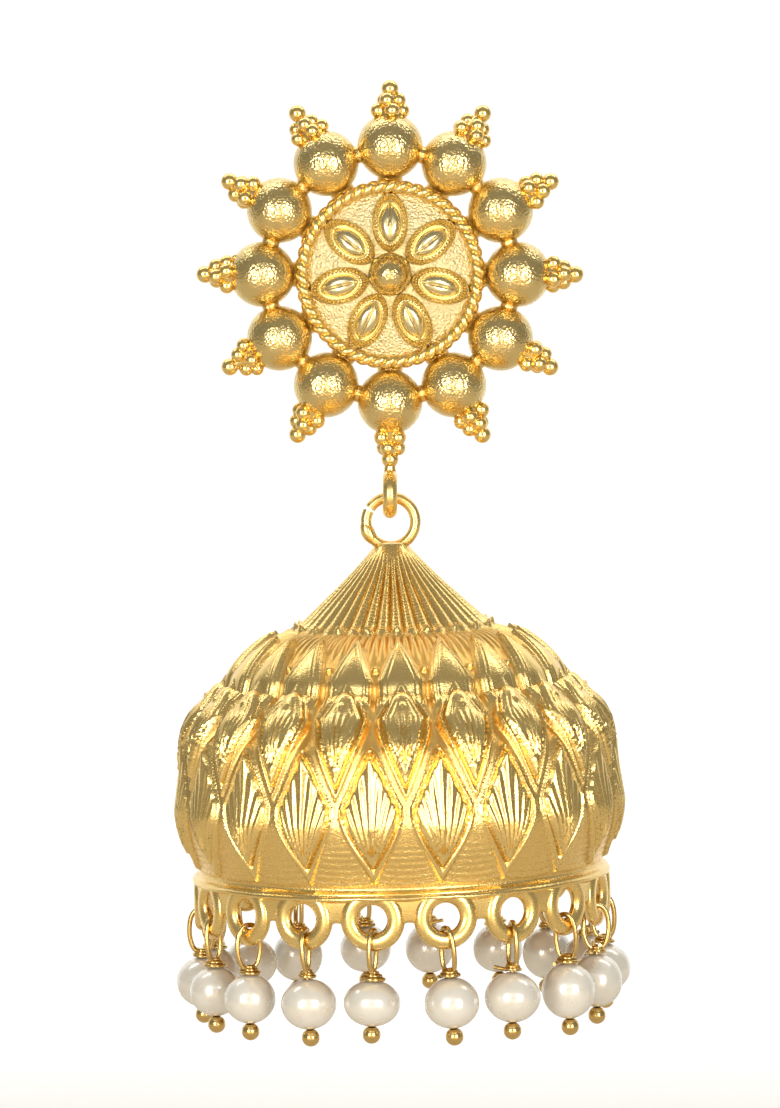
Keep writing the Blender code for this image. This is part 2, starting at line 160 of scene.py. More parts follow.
SKY_STOPS = (
    # share of the way from straight down to straight up, and the light from there
    (0.0, (0.38, 0.27, 0.13)),
    (0.40, (0.34, 0.28, 0.19)),
    (0.54, (0.30, 0.29, 0.26)),
    (0.70, (0.26, 0.26, 0.24)),
    (1.0, (0.34, 0.33, 0.31)),
)
world = bpy.data.worlds.new("studio")
world.use_nodes = True
background = world.node_tree.nodes["Background"]
background.inputs["Strength"].default_value = 1.0
graded(world.node_tree, "Generated", "Z", -1.0, 1.0, SKY_STOPS, background.inputs["Color"])
bpy.context.scene.world = world
bpy.context.scene.view_settings.view_transform = "Standard"

lens = bpy.data.cameras.new("photo_camera")
lens.sensor_fit = "VERTICAL"
lens.angle = 2 * math.atan(FRAME_HEIGHT / 2 / CAMERA_DISTANCE)
lens.clip_start = 0.01
camera = bpy.data.objects.new("photo_camera", lens)
camera.location = (0.0, -(CAMERA_DISTANCE - HANG_DEPTH) * MM, CAMERA_HEIGHT * MM)
aim = Vector((0.0, HANG_DEPTH * MM, AIM_HEIGHT * MM)) - camera.location
camera.rotation_euler = aim.to_track_quat("-Z", "Y").to_euler()
bpy.context.scene.collection.objects.link(camera)
bpy.context.scene.camera = camera

# Balls of the stud
# Twelve hollow gold balls, each pressed from two cups, soldered to their neighbours and to the
# disc with small round necks.  Their skin is satin, finely dimpled, with scratches from polishing.
BALL_COUNT = 12
BALL_RADIUS = 2.4
BALL_GAP = 0.2
BALL_SWELL = 0.08
BALL_GRID = (30, 44)
BALL_RING_RADIUS = (BALL_RADIUS + BALL_GAP / 2) / math.sin(math.pi / BALL_COUNT)
# Each gold runs from its pale colour to its deep one; where a piece has a hollow mark, its hollows
# are pulled towards the deep colour as painted shade.
GOLD_PALE = (0.93, 0.69, 0.27)
GOLD_DEEP = (0.93, 0.55, 0.13)
SATIN_PALE = (0.83, 0.65, 0.29)
SATIN_DEEP = (0.80, 0.49, 0.13)
# How many lumps of each pattern there are to a millimetre
CLOUDS_PER_MM = 0.5
GRAINS_PER_MM = 5.5
SCRATCHES_PER_MM = 3.0
SCRATCH_SQUEEZE = (1.0, 1.0, 7.0)
CELLS_PER_MM = 4.8
STIPPLES_PER_MM = 7.0
# How much each pattern warms the colour (in the hollows this is painted shade), and how much each
# dulls the gloss
HOLLOW_SHADE, CLOUD_WARMTH, GRAIN_WARMTH = 0.85, 0.4, 0.3
HOLLOW_DULLING, CLOUD_DULLING, SCRATCH_DULLING = 0.16, 0.1, 0.16
GRAIN_SHARE, SCRATCH_SHARE = 0.7, 0.4


class Value:
    """A shader socket that can stand in a Python expression: each operator adds a Math node."""

    def __init__(self, finish, socket):
        self.finish = finish
        self.socket = socket

    def maths(self, operation, *values):
        return self.finish.node("ShaderNodeMath", dict(enumerate(values)), operation=operation)

    def __add__(self, other):
        return self.maths("ADD", self, other)

    def __sub__(self, other):
        return self.maths("SUBTRACT", self, other)

    def __mul__(self, other):
        return self.maths("MULTIPLY", self, other)

    def held(self, low, high):
        """The value kept between two numbers."""
        return self.maths("MAXIMUM", self.maths("MINIMUM", self, high), low)

    __radd__ = __add__


class Finish:
    """A Principled material: constants are set on its sockets, and what varies is linked."""

    def __init__(self, name, **constants):
        self.material = bpy.data.materials.new(name)
        self.material.use_nodes = True
        self.tree = self.material.node_tree
        self.shader = self.tree.nodes["Principled BSDF"]
        for socket, value in constants.items():
            self.shader.inputs[socket.replace("_", " ")].default_value = value

    def node(self, kind, inputs=None, out=0, **settings):
        """A node of a kind: its settings are set first, then its sockets are set or linked."""
        made = self.tree.nodes.new(kind)
        for key, value in settings.items():
            setattr(made, key, value)
        for key, value in (inputs or {}).items():
            if isinstance(value, Value):
                self.tree.links.new(value.socket, made.inputs[key])
            else:
                made.inputs[key].default_value = value
        return Value(self, made.outputs[out])

    def place(self, scale=(1.0, 1.0, 1.0)):
        """The piece's own coordinates in millimetres, stretched by a scale."""
        spot = self.node("ShaderNodeTexCoord", out=3)
        return self.node("ShaderNodeMapping", {"Vector": spot, "Scale": [s / MM for s in scale]})

    def noise(self, per_mm, detail=2.0, stretch=(1.0, 1.0, 1.0)):
        """Cloudy noise from 0 to 1, so many lumps to a millimetre."""
        where = self.place(stretch)
        return self.node("ShaderNodeTexNoise", {"Vector": where, "Scale": per_mm, "Detail": detail})

    def mark(self, name):
        """A number painted on the piece's own points."""
        return self.node("ShaderNodeAttribute", out=2, attribute_name=name)

    def mix(self, share, first, second):
        """A colour between two colours."""
        made = self.tree.nodes.new("ShaderNodeMix")
        made.data_type = "RGBA"
        for key, value in ((0, share), (6, first), (7, second)):
            if isinstance(value, Value):
                self.tree.links.new(value.socket, made.inputs[key])
            else:
                made.inputs[key].default_value = (*value, 1.0)
        return Value(self, made.outputs[2])

    def wear(self, **links):
        """Links what changes over the surface to the shader."""
        for socket, value in links.items():
            self.tree.links.new(value.socket, self.shader.inputs[socket.replace("_", " ")])
        return self.material

    def bump(self, height, distance_mm):
        """A bumped normal from a height that spans a distance."""
        return self.node("ShaderNodeBump", {"Height": height, "Distance": distance_mm * MM})


def gold_finish(name, rough, grain, ground=0.0, deepening=0.12, speckle=0.0,
                colours=(GOLD_PALE, GOLD_DEEP)):
    """Gold with a depth of grain in millimetres: deeper in colour in its hollows, which is painted
    shade, and duller there, with clouds of tarnish and fine scratches, and where asked for, dimples
    and a stippled ground."""
    finish = Finish(name, Metallic=1.0)
    hollow = finish.mark("hollow")
    cloud = finish.noise(CLOUDS_PER_MM, 3.0)
    fine = finish.noise(GRAINS_PER_MM, 3.0)
    scratch = finish.noise(SCRATCHES_PER_MM, 3.0, SCRATCH_SQUEEZE)
    # Painted shade: the hollow mark pulls the colour towards the deep one, on top of the random tone
    # of the clouds and the grain.
    shade_and_tone = hollow * HOLLOW_SHADE + deepening
    shade_and_tone = shade_and_tone + (cloud - 0.5) * CLOUD_WARMTH + (fine - 0.5) * GRAIN_WARMTH
    roughness = rough + hollow * HOLLOW_DULLING
    roughness = roughness + (cloud - 0.5) * CLOUD_DULLING + (scratch - 0.5) * SCRATCH_DULLING
    height = fine * GRAIN_SHARE + scratch * SCRATCH_SHARE
    if speckle > 0.0:
        cells = {"Vector": finish.place(), "Scale": CELLS_PER_MM}
        height = height + finish.node("ShaderNodeTexVoronoi", cells) * speckle
    if ground > 0.0:
        stipple = finish.noise(STIPPLES_PER_MM, 3.0)
        height = height + stipple * finish.mark("ground") * ground
    return finish.wear(
        Base_Color=finish.mix(shade_and_tone.held(0.0, 1.0), *colours),
        Roughness=roughness.held(0.12, 0.8),
        Normal=finish.bump(height, grain),
    )


def skin(points, wrap=False):
    """A grid of points, rows by columns, as faces: columns close on themselves, and rows may wrap.
    Where they don't, a point in the middle of the first row and of the last closes each by a fan."""
    rows, columns = points.shape[:2]
    index = np.arange(rows * columns).reshape(rows, columns)
    near = index if wrap else index[:-1]
    far = np.roll(index, -1, axis=0) if wrap else index[1:]
    quads = np.stack([near, np.roll(near, -1, 1), np.roll(far, -1, 1), far], axis=-1).reshape(-1, 4)
    flat = points.reshape(-1, 3)
    fans = np.empty((0, 3), int)
    if not wrap:
        flat = np.concatenate([flat, points[:1].mean(axis=1), points[-1:].mean(axis=1)])
        first, last = index[0], index[-1]
        top = np.stack([np.roll(first, -1), first, np.full(columns, rows * columns)], axis=-1)
        low = np.stack([last, np.roll(last, -1), np.full(columns, rows * columns + 1)], axis=-1)
        fans = np.concatenate([top, low])
    corners = flat[quads]
    across = np.cross(corners[:, 2] - corners[:, 0], corners[:, 3] - corners[:, 1])
    if np.sum(across * (corners.mean(axis=1) - flat.mean(axis=0))) < 0.0:
        quads, fans = quads[:, ::-1], fans[:, ::-1]
    return flat, quads, fans


def place_piece(name, skins, finish, body, replaces, marks=None, sharp_deg=50.0):
    """One mesh from several skins in millimetres, riding on a body in place of CAD nodes."""
    counts = np.cumsum([0] + [len(part[0]) for part in skins])
    points = np.concatenate([part[0] for part in skins]) * MM
    quads = np.concatenate([part[1] + start for part, start in zip(skins, counts)])
    fans = np.concatenate([part[2] + start for part, start in zip(skins, counts)])
    corners = np.concatenate([quads.ravel(), fans.ravel()]).astype(np.int32)
    starts = np.concatenate([4 * np.arange(len(quads)), 4 * len(quads) + 3 * np.arange(len(fans))])
    mesh = bpy.data.meshes.new(name)
    mesh.vertices.add(len(points))
    mesh.vertices.foreach_set("co", points.astype(np.float32).ravel())
    mesh.loops.add(len(corners))
    mesh.loops.foreach_set("vertex_index", corners)
    mesh.polygons.add(len(starts))
    mesh.polygons.foreach_set("loop_start", starts.astype(np.int32))
    for mark, values in (marks or {}).items():
        painted = mesh.attributes.new(mark, "FLOAT", "POINT")
        painted.data.foreach_set("value", values.astype(np.float32))
    mesh.update(calc_edges=True)
    mesh.shade_smooth()
    mesh.set_sharp_from_angle(angle=math.radians(sharp_deg))
    mesh.materials.append(finish)
    made = bpy.data.objects.new(name, mesh)
    bpy.context.scene.collection.objects.link(made)
    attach(made, body)
    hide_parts(*replaces)


def swept(radius, angle, height):
    """The points at radii, angles and heights: (radius cos, radius sin, height)."""
    return spots(radius * np.cos(angle), radius * np.sin(angle), height)


def circle(count):
    """So many angles, evenly round."""
    return np.linspace(0.0, 2 * math.pi, count, endpoint=False)


def sphere(radius, rows, columns):
    """A ball round the origin: radius times the unit vector of two angles."""
    polar = np.linspace(0.0, math.pi, rows + 2)[1:-1, None]
    return radius * swept(np.sin(polar), circle(columns), np.cos(polar))


def turned(radius, height, columns):
    """A profile turned round the Z axis."""
    radius, height = np.asarray(radius, float), np.asarray(height, float)
    return swept(radius[:, None], circle(columns), height[:, None])


def rotation(axis, angle):
    """The matrix of a turn about X, Y or Z."""
    c, s = math.cos(angle), math.sin(angle)
    a, b = {"X": (1, 2), "Y": (2, 0), "Z": (0, 1)}[axis]
    matrix = np.eye(3)
    matrix[a, a] = matrix[b, b] = c
    matrix[a, b], matrix[b, a] = -s, s
    return matrix


def carried(points, matrix, shift=(0.0, 0.0, 0.0)):
    """Points turned by a matrix and then moved."""
    return points @ matrix.T + np.asarray(shift, float)


def stand_up(points):
    """From the stud lying on its back, z out of its face, to its place on the ear."""
    return carried(points, rotation("X", math.pi / 2))


def on_ring(radius, angle, height):
    """The point at a radius, an angle and a height."""
    return (radius * math.cos(angle), radius * math.sin(angle), height)


ball_angles = math.pi / 2 - 2 * math.pi * np.arange(BALL_COUNT) / BALL_COUNT
ball_skins = []
for ball_angle in ball_angles:
    round_ball = carried(sphere(BALL_RADIUS + BALL_SWELL, *BALL_GRID), rotation("Z", ball_angle),
                         on_ring(BALL_RING_RADIUS, ball_angle, BALL_RADIUS))
    ball_skins.append(skin(stand_up(round_ball)))
ball_gold = gold_finish("ball_gold", rough=0.20, grain=0.024, speckle=1.5,
                        colours=(SATIN_PALE, SATIN_DEEP))
place_piece("stud_balls", ball_skins, ball_gold, "stud", ["stud"])


def solder_neck(start, end, waist, flare):
    """A waist of solder between two points: its radius grows with the square of the distance
    from halfway."""
    length = np.linalg.norm(end - start)
    along = np.linspace(-1.0, 1.0, 13)
    barrel = turned(waist + flare * along**2, length * (along + 1) / 2, 24)
    way = (end - start) / length
    side = np.cross(way, (0.0, 0.0, 1.0))
    side /= np.linalg.norm(side)
    matrix = np.stack([side, np.cross(way, side), way], axis=1)
    return carried(barrel, matrix, start)


DISC_RADIUS = BALL_RING_RADIUS - BALL_RADIUS - BALL_GAP
DISC_THICKNESS = 3.0
# A neck's radius at its waist, and how much wider its ends are
DISC_NECK = (0.95, 0.30)
BALL_NECK = (0.66, 0.34)
DISC_NECK_LIFT = 0.45 * DISC_THICKNESS
DISC_NECK_SINK = 0.5
DISC_NECK_REACH = 1.2
BALL_NECK_REACH = 0.75
# How deep the painted shade on the solder necks is, and how much duller their gloss, from 0 to 1
SOLDER_SHADE_AND_DULLNESS = 0.55

neck_skins = []
half_step = math.pi / BALL_COUNT
for ball_angle in ball_angles:
    out = np.array(on_ring(1.0, ball_angle, 0.0))
    seat = np.array([0.0, 0.0, DISC_NECK_LIFT])
    start, end = out * (DISC_RADIUS - DISC_NECK_SINK), out * (DISC_RADIUS + DISC_NECK_REACH)
    neck_skins.append(skin(stand_up(solder_neck(seat + start, seat + end, *DISC_NECK))))
    mid = np.array(on_ring(1.0, ball_angle + half_step, 0.0))
    reach = BALL_NECK_REACH * np.array([-mid[1], mid[0], 0.0])
    centre = mid * BALL_RING_RADIUS * math.cos(half_step) + [0.0, 0.0, BALL_RADIUS]
    neck_skins.append(skin(stand_up(solder_neck(centre - reach, centre + reach, *BALL_NECK))))
# The necks carry the hollow mark at over half strength: painted shade between the balls, and duller
# gloss.
solder_marks = {"hollow": np.full(sum(len(part[0]) for part in neck_skins), SOLDER_SHADE_AND_DULLNESS)}
place_piece("stud_solder", neck_skins, ball_gold, "stud", ["stud"], solder_marks)

# Granules on the balls
# A heap of gold granules, melted on to the outer end of each ball: two rings of them round a core,
# and one large granule at the tip.  Each heap was set by hand, so each has its own turn, and a few
# are denser.  One small granule strayed on to the left ball.
CLUSTER_HEIGHT = 2.6
TIP_GRANULE_RADIUS = 0.66
GRANULE_GRID = (9, 16)
TIP_GRID = (11, 20)
STRAY_GRID = (7, 12)
STRAY_RADIUS = 0.24
STRAY_TURN = math.radians(148)
STRAY_DISTANCE = 2.42
STRAY_LIFT = 0.3
CORE_RADII = (1.15, 0.72, 0.4)
CORE_DISTANCES = (2.0, 3.1, 4.2)
CLUSTER_TURNS_DEG = (10, 40, 62, 25, 50, 8, 45, 30, 70, 15, 55, 35)
# The rings of a heap: count, distance from the ball's centre, ring radius, granule radius
OPEN_HEAP = ((4, 2.68, 0.90, 0.60), (3, 3.48, 0.62, 0.60))
DENSE_HEAP = ((5, 2.62, 1.12, 0.55), (3, 3.32, 0.74, 0.57))
HEAPS = (OPEN_HEAP, DENSE_HEAP, OPEN_HEAP, OPEN_HEAP, OPEN_HEAP, OPEN_HEAP,
         OPEN_HEAP, OPEN_HEAP, DENSE_HEAP, OPEN_HEAP, OPEN_HEAP, DENSE_HEAP)


def granule_heap(rings, turn):
    """Small balls in rings round the X axis, each ring turned half a step from the last, a large
    one at the tip and a tapering core inside them."""
    heap = []
    for level, (count, distance, ring, radius) in enumerate(rings):
        for i in range(count):
            angle = turn + 2 * math.pi * (i + 0.5 * level) / count
            spot = (distance, ring * math.cos(angle), ring * math.sin(angle))
            heap.append(sphere(radius, *GRANULE_GRID) + spot)
    tip = (BALL_RADIUS + CLUSTER_HEIGHT - TIP_GRANULE_RADIUS, 0.0, 0.0)
    heap.append(sphere(TIP_GRANULE_RADIUS, *TIP_GRID) + tip)
    heap.append(carried(turned(CORE_RADII, CORE_DISTANCES, 12), rotation("Y", math.pi / 2)))
    return heap


granule_skins = []
for ball_angle, turn_deg, rings in zip(ball_angles, CLUSTER_TURNS_DEG, HEAPS):
    spot = on_ring(BALL_RING_RADIUS, ball_angle, BALL_RADIUS)
    for granule in granule_heap(rings, math.radians(turn_deg)):
        granule_skins.append(skin(stand_up(carried(granule, rotation("Z", ball_angle), spot))))
stray_spot = np.array(on_ring(STRAY_DISTANCE, STRAY_TURN, BALL_RADIUS + STRAY_LIFT))
stray = sphere(STRAY_RADIUS, *STRAY_GRID) + (stray_spot - [BALL_RING_RADIUS, 0.0, 0.0])
granule_skins.append(skin(stand_up(stray)))
granule_gold = gold_finish("granule_gold", rough=0.24, grain=0.006)
place_piece("granules", granule_skins, granule_gold, "stud", ["stud"])

# Disc with its rope edge
# A flat-backed gold disc with a slightly swelling, stippled face.  A rope of two wires twisted
# together is soldered round its rim.
DISC_CROWN = 0.95
ROPE_RADIUS = 0.45
ROPE_TWISTS = 25
STEPS_PER_TWIST = 14
STRAND_RADIUS = 0.76 * ROPE_RADIUS
STRAND_OFFSET = 0.5 * ROPE_RADIUS
ROPE_LIFT = 0.35 * ROPE_RADIUS
FACE_RADIUS = DISC_RADIUS - 2 * ROPE_RADIUS
DISC_COLUMNS = 120
MATT_PALE = (0.78, 0.66, 0.37)
MATT_DEEP = (0.72, 0.48, 0.17)


def disc_profile():
    """Radius and height from the back's middle round the rim to the face's middle."""
    back = [(0.2, 0.0), (3.0, 0.0), (DISC_RADIUS - 0.25, 0.0), (DISC_RADIUS - 0.05, 0.08)]
    rim = [(DISC_RADIUS, 0.3), (DISC_RADIUS, DISC_THICKNESS - 0.25),
           (DISC_RADIUS - 0.15, DISC_THICKNESS)]
    share = np.linspace(1.0, 0.03, 26)
    face = np.stack([FACE_RADIUS * share, DISC_THICKNESS + DISC_CROWN * (1 - share**2)], axis=1)
    return np.concatenate([back, rim, face])


profile = disc_profile()
disc_skin = skin(stand_up(turned(profile[:, 0], profile[:, 1], DISC_COLUMNS)))
on_face = (profile[:, 1] >= DISC_THICKNESS) & (profile[:, 0] <= FACE_RADIUS)
disc_marks = np.concatenate([np.repeat(np.where(on_face, 1.0, 0.0), DISC_COLUMNS), [0.0, 1.0]])
disc_gold = gold_finish("disc_gold", rough=0.34, grain=0.042, ground=2.0, speckle=1.4,
                        colours=(MATT_PALE, MATT_DEEP))
place_piece("stud_disc", [disc_skin], disc_gold, "stud", ["stud"], {"ground": disc_marks})


def tube(path, radius, sides, closed=False, side_hint=(0.0, 0.0, 1.0)):
    """Round wire along a path: circles across its direction, each square to a steady side."""
    if closed:
        way = np.roll(path, -1, axis=0) - np.roll(path, 1, axis=0)
    else:
        way = np.gradient(path, axis=0)
    way /= np.linalg.norm(way, axis=1, keepdims=True)
    side = np.cross(way, side_hint)
    side /= np.linalg.norm(side, axis=1, keepdims=True)
    up = np.cross(side, way)
    around = circle(sides)
    radius = np.broadcast_to(radius, len(path))[:, None, None]
    across = side[:, None] * np.cos(around)[None, :, None]
    return path[:, None] + radius * (across + up[:, None] * np.sin(around)[None, :, None])


def rope_strand(phase):
    """A wire that winds round a circle's own line, so many twists to the round."""
    around = circle(STEPS_PER_TWIST * ROPE_TWISTS)
    twist = ROPE_TWISTS * around + phase
    radius = DISC_RADIUS - ROPE_RADIUS + STRAND_OFFSET * np.cos(twist)
    height = DISC_THICKNESS + ROPE_LIFT + STRAND_OFFSET * np.sin(twist)
    return swept(radius, around, height)


rope_skins = [
    skin(stand_up(tube(rope_strand(phase), STRAND_RADIUS, 10, closed=True)), wrap=True)
    for phase in (0.0, math.pi)
]
rope_gold = gold_finish("rope_gold", rough=0.28, grain=0.008)
place_piece("stud_rope", rope_skins, rope_gold, "stud", ["stud"])

# Flower on the disc
# Seven oval petals of cast gold, each with a ribbed wire border and a pointed bead inside it
# with a line down its middle, round a plain half-ball boss on a wire collar.
FLOWER_PETALS = 7
FLOWER_PETAL_WIDTH = 2.75
FLOWER_PETAL_HEIGHT = 0.50
BOSS_RADIUS = 1.6
PETAL_CLEARANCE = 0.05
BORDER_RIBS = 34
RIB_HEIGHT = 0.15
CHANNEL_MIDDLE = 0.845
CHANNEL_WIDTH = 0.07
LINE_DEPTH = 0.14
LINE_WIDTH = 0.07


def ease(x, low, high):
    """0 below low, 1 above high, and an S between."""
    t = np.clip((x - low) / (high - low), 0.0, 1.0)
    return t * t * (3 - 2 * t)


def flower_petal():
    """An oval (cos, sin to the power 1.05, for its bead 1.4) shrunk towards its middle, each size
    at its own height: an edge wire, a ribbed channel, an inner wire, a groove and a bead."""
    profile = np.array([
        # size, rise
        (1.0, -1.0), (1.0, 0.35), (0.985, 0.76), (0.955, 0.92), (0.925, 0.80), (0.90, 0.56),
        (0.87, 0.46), (0.84, 0.42), (0.80, 0.46), (0.775, 0.60), (0.755, 0.84), (0.735, 0.86),
        (0.715, 0.62), (0.70, 0.36), (0.68, 0.22), (0.66, 0.26), (0.63, 0.56), (0.58, 0.84),
        (0.50, 1.04), (0.40, 1.18), (0.28, 1.26), (0.14, 1.29), (0.04, 1.30)])
    size = profile[:, :1]
    rise = profile[:, 1:]
    around = circle(8 * BORDER_RIBS)
    length = FACE_RADIUS - BOSS_RADIUS - PETAL_CLEARANCE
    bead = ease(0.76 - size, 0.0, 0.16)
    x = length / 2 * size * np.cos(around)
    blunt = np.sign(np.sin(around)) * np.abs(np.sin(around)) ** (1.05 + 0.35 * bead)
    y = FLOWER_PETAL_WIDTH / 2 * size * blunt * (1 - 0.10 * bead)
    channel = np.exp(-((size - CHANNEL_MIDDLE) / CHANNEL_WIDTH) ** 4)
    ribs = RIB_HEIGHT * channel * np.cos(BORDER_RIBS * around)
    line = LINE_DEPTH * bead * np.exp(-(y / LINE_WIDTH) ** 2)
    line = line * ease(0.33 * length - np.abs(x), 0.0, 0.3)
    z = FLOWER_PETAL_HEIGHT * rise + ribs - line
    # Painted shade: deeper colour in the grooves, in the bead's line and between the ribs, less on
    # the ribs' tops.
    hollow = np.clip(0.06 - 0.40 * rise, 0.0, 1.0) + 2.0 * line - ribs
    middle = BOSS_RADIUS + PETAL_CLEARANCE + length / 2
    reach = ((x + middle) ** 2 + y**2) / FACE_RADIUS**2
    face = DISC_THICKNESS + DISC_CROWN * (1 - reach)
    return spots(x + middle, y, z + face), np.clip(hollow, 0.0, 1.0)


petal_points, petal_shade = flower_petal()
petal_skins = []
for petal in range(FLOWER_PETALS):
    turn = rotation("Z", math.pi / 2 + 2 * math.pi * petal / FLOWER_PETALS)
    petal_skins.append(skin(stand_up(carried(petal_points, turn))))
# The two fan middles: the hidden one under the petal in full painted shade, the bead's tip in a
# little.
petal_marks = np.tile(np.concatenate([petal_shade.ravel(), [1.0, 0.2]]), FLOWER_PETALS)
flower_gold = gold_finish("flower_gold", rough=0.25, grain=0.005, deepening=0.0,
                          colours=(MATT_PALE, MATT_DEEP))
place_piece("flower_petals", petal_skins, flower_gold, "stud", ["stud"],
            {"hollow": petal_marks})

BOSS_COLLAR = ((1.66, -0.2), (1.63, 0.42), (1.52, 0.62), (1.40, 0.72), (1.28, 0.86))
BOSS_BALL_RADIUS = 1.25
BOSS_BALL_HEIGHT = 0.96
BOSS_SEAT = 0.8 * DISC_CROWN

boss_angle = np.linspace(0.1, 0.49 * math.pi, 18)
half_ball = np.stack([BOSS_BALL_RADIUS * np.cos(boss_angle),
                      BOSS_BALL_HEIGHT + BOSS_BALL_RADIUS * np.sin(boss_angle)], axis=1)
boss_radius, boss_height = np.concatenate([BOSS_COLLAR, half_ball]).T
boss_skin = skin(stand_up(turned(boss_radius, boss_height + DISC_THICKNESS + BOSS_SEAT, 56)))
place_piece("flower_boss", [boss_skin], ball_gold, "stud", ["stud"])

# Loop and ear post
# A cast loop, seen edge-on from the front, hangs from the lowest granule on a short stem.  The ear
# post is a plain round wire soldered into the disc's back, with a rounded end.
LOOP_HOLE_RADIUS = 0.75
LOOP_WIRE_RADIUS = 0.56
LOOP_RADIUS = LOOP_HOLE_RADIUS + LOOP_WIRE_RADIUS
LOOP_GAP = 0.1
LOOP_CENTRE = (BALL_RING_RADIUS + BALL_RADIUS + CLUSTER_HEIGHT + LOOP_GAP + LOOP_RADIUS
               + LOOP_WIRE_RADIUS)
STEM_LENGTH = 1.0
STEM_RADIUS = 0.40
STEM_FLARE = 0.12
POST_RADIUS = 0.45
POST_LENGTH = 10.5

around_loop = circle(56)
loop_path = spots(0.0, LOOP_RADIUS * np.sin(around_loop) - LOOP_CENTRE,
                  LOOP_RADIUS * np.cos(around_loop) + BALL_RADIUS)
loop_wire = tube(loop_path, LOOP_WIRE_RADIUS, 18, closed=True, side_hint=(1, 0, 0))
loop_skin = skin(stand_up(loop_wire), wrap=True)
stem_along = np.linspace(0.0, 1.0, 10)
stem_start = -(LOOP_CENTRE - LOOP_RADIUS - LOOP_GAP)
stem_path = spots(0.0, stem_start + STEM_LENGTH * stem_along, BALL_RADIUS)
stem_skin = skin(stand_up(tube(stem_path, STEM_RADIUS + STEM_FLARE * (1 - stem_along) ** 2, 16)))
post_bend = np.linspace(0.0, 0.48 * math.pi, 8)
post_foot = np.array([(1.5 * POST_RADIUS, 0.3), (1.25 * POST_RADIUS, -0.15), (POST_RADIUS, -0.4)])
post_end = np.stack([POST_RADIUS * np.cos(post_bend),
                     -POST_LENGTH + POST_RADIUS * (1 - np.sin(post_bend))], axis=1)
post_radius, post_height = np.concatenate([post_foot, post_end]).T
post_skin = skin(stand_up(turned(post_radius, post_height, 24)))
place_piece("stud_loop", [loop_skin, stem_skin], rope_gold, "stud", ["stud"])
place_piece("ear_post", [post_skin], rope_gold, "stud", ["stud"])

# Bell
# A hollow bell of thin gold: a fluted cone, then a row of arches, a row of pointed petals in front
# and a row behind them, on a chased ground, with a plain rim wire.  Its lining is smooth.
RING_RADIUS = 1.87
RING_WIRE_RADIUS = 0.41
LINK_CLEARANCE = 0.09
PIVOT_HEIGHT = -(LOOP_CENTRE + LOOP_HOLE_RADIUS - RING_WIRE_RADIUS - LINK_CLEARANCE)
DROP_LEAN = math.radians(1.7)
BELL_TURN = math.radians(1.9)
PETALS_ROUND = 20
BELL_WALL = 0.35
RELIEF = 0.8
# How much deeper the relief gets where the front petals stand out, where that is and how far it goes
DEEPER_RELIEF, DEEPEST, DEEPER_SPAN = 0.45, 2.36, 0.24
# A row's widest half petal, and where its petals open and close: start, length and power
ARCH_WIDEST, ARCH_OPENING = 0.98, (1.24, 0.60, 0.62)
FRONT_WIDEST, FRONT_OPENING, FRONT_CLOSING = 0.97, (1.84, 0.44, 0.55), (2.28, 0.86, 1.4)
BACK_WIDEST, BACK_OPENING, BACK_CLOSING = 1.0, (2.56, 0.58, 0.80), (3.22, 0.76, 1.3)
# Width of each row's border, and how deep its inner lines are
ARCH_BORDER, ARCH_LINES = 0.11, 0.07
FRONT_BORDER, FRONT_LINES = 0.23, 0.06
BACK_BORDER, BACK_BORDER_FOOT = 0.21, 0.12
# Where the veins meet, how widely they open and how deep they are
FRONT_VEINS, FRONT_VEIN_DEPTH = (2.92, 0.85), 0.06
BACK_VEINS, BACK_VEIN_DEPTH = (3.78, 0.75), 0.08
VEIN_SHARE = 3.6
LINE_SPACING = 0.19
# Raised dots: height, where they are, half width and half length
CONE_DOT = (1.35, 1.02, 0.40, 0.042)
GAP_DOT = (0.62, 1.68, 0.15, 0.04)
NECK_DOT = (0.16, 2.18, 0.07, 0.022)
FLUTE_DEPTH = 0.46
FLUTE_BEADS = 26
GROUND_LINES = 15
# Each stretch of the outline, from the neck down, as (height, radius) points along its crests
CONE_OUTLINE = ((-3.50, 1.20), (-3.74, 1.36), (-4.10, 1.66), (-4.75, 2.24), (-5.6, 3.04),
                (-6.6, 4.05), (-7.6, 5.12), (-8.6, 6.2), (-9.2, 6.85), (-9.48, 7.30))
FIRST_ROW_OUTLINE = ((-9.48, 7.30), (-9.58, 8.1), (-9.95, 9.25), (-10.68, 10.55), (-11.70, 11.8),
                     (-12.85, 12.72), (-13.9, 13.10))
SECOND_ROW_OUTLINE = ((-13.9, 13.10), (-14.25, 13.85), (-14.9, 14.72), (-15.97, 15.75),
                      (-17.22, 16.40), (-18.6, 16.66), (-19.8, 16.78), (-20.77, 16.86))
THIRD_ROW_OUTLINE = ((-20.77, 16.86), (-21.5, 16.96), (-22.4, 17.08), (-23.32, 17.19),
                     (-24.5, 17.05), (-25.62, 16.74), (-27.0, 16.2), (-28.3, 15.74))
BAND_OUTLINE = ((-28.30, 15.74), (-28.40, 15.75), (-28.50, 15.85), (-28.63, 15.91),
                (-28.77, 15.85), (-28.90, 15.66))
STRETCHES = ((CONE_OUTLINE, 120), (FIRST_ROW_OUTLINE, 70), (SECOND_ROW_OUTLINE, 68),
             (THIRD_ROW_OUTLINE, 62), (BAND_OUTLINE, 12))
CONE_COLUMNS = 24 * PETALS_ROUND
ROW_COLUMNS = 50 * PETALS_ROUND
LINING_STEP = 8
SMOOTHING = 9


